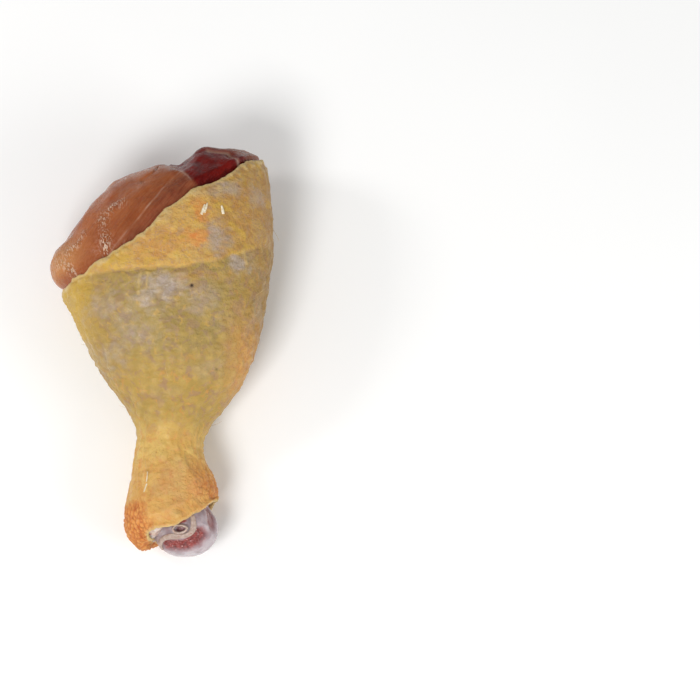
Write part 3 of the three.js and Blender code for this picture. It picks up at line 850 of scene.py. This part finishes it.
SHEATH_TURN, SHEATH_RING = math.radians(100), 2.34
SHEATH_WIDE, SHEATH_LONG = 2.1 * MM, 1.15 * MM  # half the ring's width and length
seat = bone(SHEATH_TURN, np.array(SHEATH_RING))
seat_side = bone(SHEATH_TURN - NUDGE, np.array(SHEATH_RING))
seat_side = seat_side - bone(SHEATH_TURN + NUDGE, np.array(SHEATH_RING))
seat_side /= np.linalg.norm(seat_side)
seat_up = np.cross(seat_side, bone(SHEATH_TURN, np.array(SHEATH_RING + NUDGE)) - seat)
seat_up /= np.linalg.norm(seat_up)
seat_along = np.cross(seat_up, seat_side)
ring_turn, tube_turn = turns(72)[None, :, None], turns(18)[:, None, None]
wobble = 1 + 0.05 * np.sin(3 * ring_turn + 1) + 0.03 * np.sin(7 * ring_turn)
sideways, lengthwise = seat_side * np.cos(ring_turn), seat_along * np.sin(ring_turn)
sheath_grid = seat + (sideways * SHEATH_WIDE + lengthwise * SHEATH_LONG) * wobble
sheath_grid = sheath_grid + seat_up * (0.5 + 0.55 * np.sin(tube_turn)) * MM
sheath_grid = sheath_grid + (sideways + lengthwise) * 0.42 * MM * np.cos(tube_turn)
sheath = piece("tendon_sheath_ring", sheath_grid[:, ::-1], tips=False)

for part, node_name in ((tendon, "hock_tendon"), (sheath, "tendon_sheath")):
    sinew = Finish(
        node_name + "_sinew",
        Roughness=0.22,
        Specular_IOR_Level=0.55,
        Subsurface_Weight=0.35,
        Subsurface_Radius=(1.0, 0.8, 0.7),
        Subsurface_Scale=1.2 * MM,
        Coat_Weight=0.3,
        Coat_Roughness=0.1,
    )
    pearl = sinew.mix(sinew.mottle(1.6 * MM), colour(160, 135, 122), colour(186, 165, 152))
    pearl = sinew.mix(sinew.mottle(0.9 * MM, low=0.55, high=0.75), pearl, colour(166, 122, 110))
    striped = sinew.bump(sinew.mottle(0.3 * MM), 0.05 * MM)
    sinew.plug(sinew.shader, {"Base Color": pearl, "Normal": striped})
    part.data.materials.append(sinew.material)
    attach(part, "root")
    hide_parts(node_name)


# --- The quills and hairs ------------------------------------------------------------------
# A few stubs of feather were left in the skin by the plucking: short, hollow and white, bent
# over almost flat. Here and there a hair as fine as thread stands out from the skin.

# Each stem: degrees of turn, place, which way it lies in degrees from +X, and its length and
# radius in millimetres.
STUBS = [
    (71, 10.24, 71, 3.4, 0.44),
    (69.2, 10.25, 71, 3.3, 0.44),
    (58.6, 10.04, 106, 2.7, 0.5),
    (124.5, 3.5, 70, 2.7, 0.32),
    (123, 3.8, 84, 3.2, 0.16),
]
HAIRS = [
    (4, 9.6, -20, 3.5, 0.05),
    (123, 3.9, 84, 5, 0.05),
    (28, 8.6, 30, 4, 0.04),
    (172, 6.9, 200, 3, 0.04),
    (100, 7.4, 95, 4, 0.04),
    (340, 6.2, -10, 3.5, 0.04),
    (205, 9.0, 190, 4, 0.04),
    (300, 8.0, 280, 3, 0.04),
]


def stem(degrees, place, lies, length, radius, rise):
    """A tapering stem rooted in the skin, which lies over it at a slope."""
    turn = math.radians(degrees)
    share = (place - skin_place(turn, 0)) / (skin_place(turn, 1) - skin_place(turn, 0))
    row = int(np.abs(shares[:, 0] - share).argmin())
    column = int(np.cos(skin_turns - turn).argmax())
    root, out = skin_top[row, column], skin_out[row, column]
    level = np.array([math.cos(math.radians(lies)), math.sin(math.radians(lies)), 0])
    level -= out * (level @ out)
    level /= np.linalg.norm(level)
    side = np.cross(out, level)
    t = np.linspace(0, 1, 14)[:, None]
    sunk = out * 0.3 * radius * MM
    middle = root - sunk + (level * t + out * (rise * t - 0.3 * rise * t * t)) * length * MM
    taper = radius * MM * (1 - 0.45 * t**2) * np.where(t > 0.97, 0.5, 1)
    angle = turns(10)[None, :, None]
    return middle[:, None] + taper[:, None] * (side * np.cos(angle) + out * np.sin(angle))


def joined(name, grids):
    """One piece of many stems."""
    parts = [piece(f"{name}_{k}", grid) for k, grid in enumerate(grids)]
    with bpy.context.temp_override(active_object=parts[0], selected_editable_objects=parts):
        bpy.ops.object.join()
    parts[0].name = parts[0].data.name = name
    return parts[0]


for name, stems, rise, shades, dullness in (
    ("quill_stubs", STUBS, 0.14, (colour(236, 228, 208), colour(216, 196, 156)), 0.3),
    ("fine_hairs", HAIRS, 0.7, (colour(206, 180, 130), colour(176, 140, 90)), 0.4),
):
    part = joined(name, [stem(*values, rise) for values in stems])
    horn = Finish(
        name + "_horn",
        Roughness=dullness,
        Subsurface_Weight=0.2,
        Subsurface_Radius=(1.0, 0.9, 0.7),
        Subsurface_Scale=0.4 * MM,
    )
    horny = horn.mix(horn.mottle(0.6 * MM), *shades)
    horn.plug(horn.shader, {"Base Color": horny, "Normal": horn.bump(horn.mottle(0.15 * MM), 0.02 * MM)})
    part.data.materials.append(horn.material)
    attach(part, "root")


# --- The table, the light and the camera ---------------------------------------------------
# The leg lies on a plain pale table that runs on out of sight. A wide soft light stands high at
# the front left, a small one on the left glints on the wet meat, and a fill stands at the right.

TABLE_REACH = 6.0  # from the leg to each edge of the table
table_mesh = bpy.data.meshes.new("table")
sides = ((-1, -1), (1, -1), (1, 1), (-1, 1))
corners = [(right * TABLE_REACH, far * TABLE_REACH, 0) for right, far in sides]
table_mesh.from_pydata(corners, [], [(0, 1, 2, 3)])
table = bpy.data.objects.new("table", table_mesh)
bpy.context.scene.collection.objects.link(table)
top = Finish("pale_table", Roughness=0.6, Specular_IOR_Level=0.2)
pale = top.mix(top.mottle(0.2), colour(249, 249, 248), colour(252, 252, 251))
top.plug(top.shader, {"Base Color": pale})
table.data.materials.append(top.material)

# The sky is as dim as the far end of the table, so that no line shows where the two meet.
sky = bpy.data.worlds.new("studio")
sky.use_nodes = True
sky.node_tree.nodes["Background"].inputs["Color"].default_value = (1, 1, 1, 1)
sky.node_tree.nodes["Background"].inputs["Strength"].default_value = 0.39
bpy.context.scene.world = sky


def lamp(name, spot, size, watts):
    """A square light that faces the leg."""
    light = bpy.data.lights.new(name, "AREA")
    light.size, light.energy = size, watts
    made = bpy.data.objects.new(name, light)
    made.location = spot
    made.rotation_euler = (Vector((0, 0, 0.02)) - Vector(spot)).to_track_quat("-Z", "Y").to_euler()
    bpy.context.scene.collection.objects.link(made)


lamp("wide_light", (-0.28, -0.55, 0.8), 0.35, 6.2)
lamp("side_light", (-0.5, 0.1, 0.44), 0.14, 0.9)
lamp("fill_light", (0.75, -0.35, 0.45), 0.5, 3.0)

# The camera looks down steeply from the hock's side, and the leg lies left of its middle.
CAMERA_FAR, FRAME_WIDE, SENSOR_WIDE = 2.6, 210 * MM, 36
pitch = math.radians(75)
aim = HOME + Vector((56.7, -4.6, 20)) * MM
camera = bpy.data.objects.new("camera", bpy.data.cameras.new("camera"))
camera.location = aim + CAMERA_FAR * Vector((0, -math.cos(pitch), math.sin(pitch)))
camera.rotation_euler = (math.pi / 2 - pitch, 0, 0)
camera.data.sensor_width = SENSOR_WIDE
camera.data.lens = SENSOR_WIDE * CAMERA_FAR / FRAME_WIDE
camera.data.clip_end = 20
bpy.context.scene.collection.objects.link(camera)
bpy.context.scene.camera = camera
bpy.context.scene.view_settings.view_transform = "Standard"
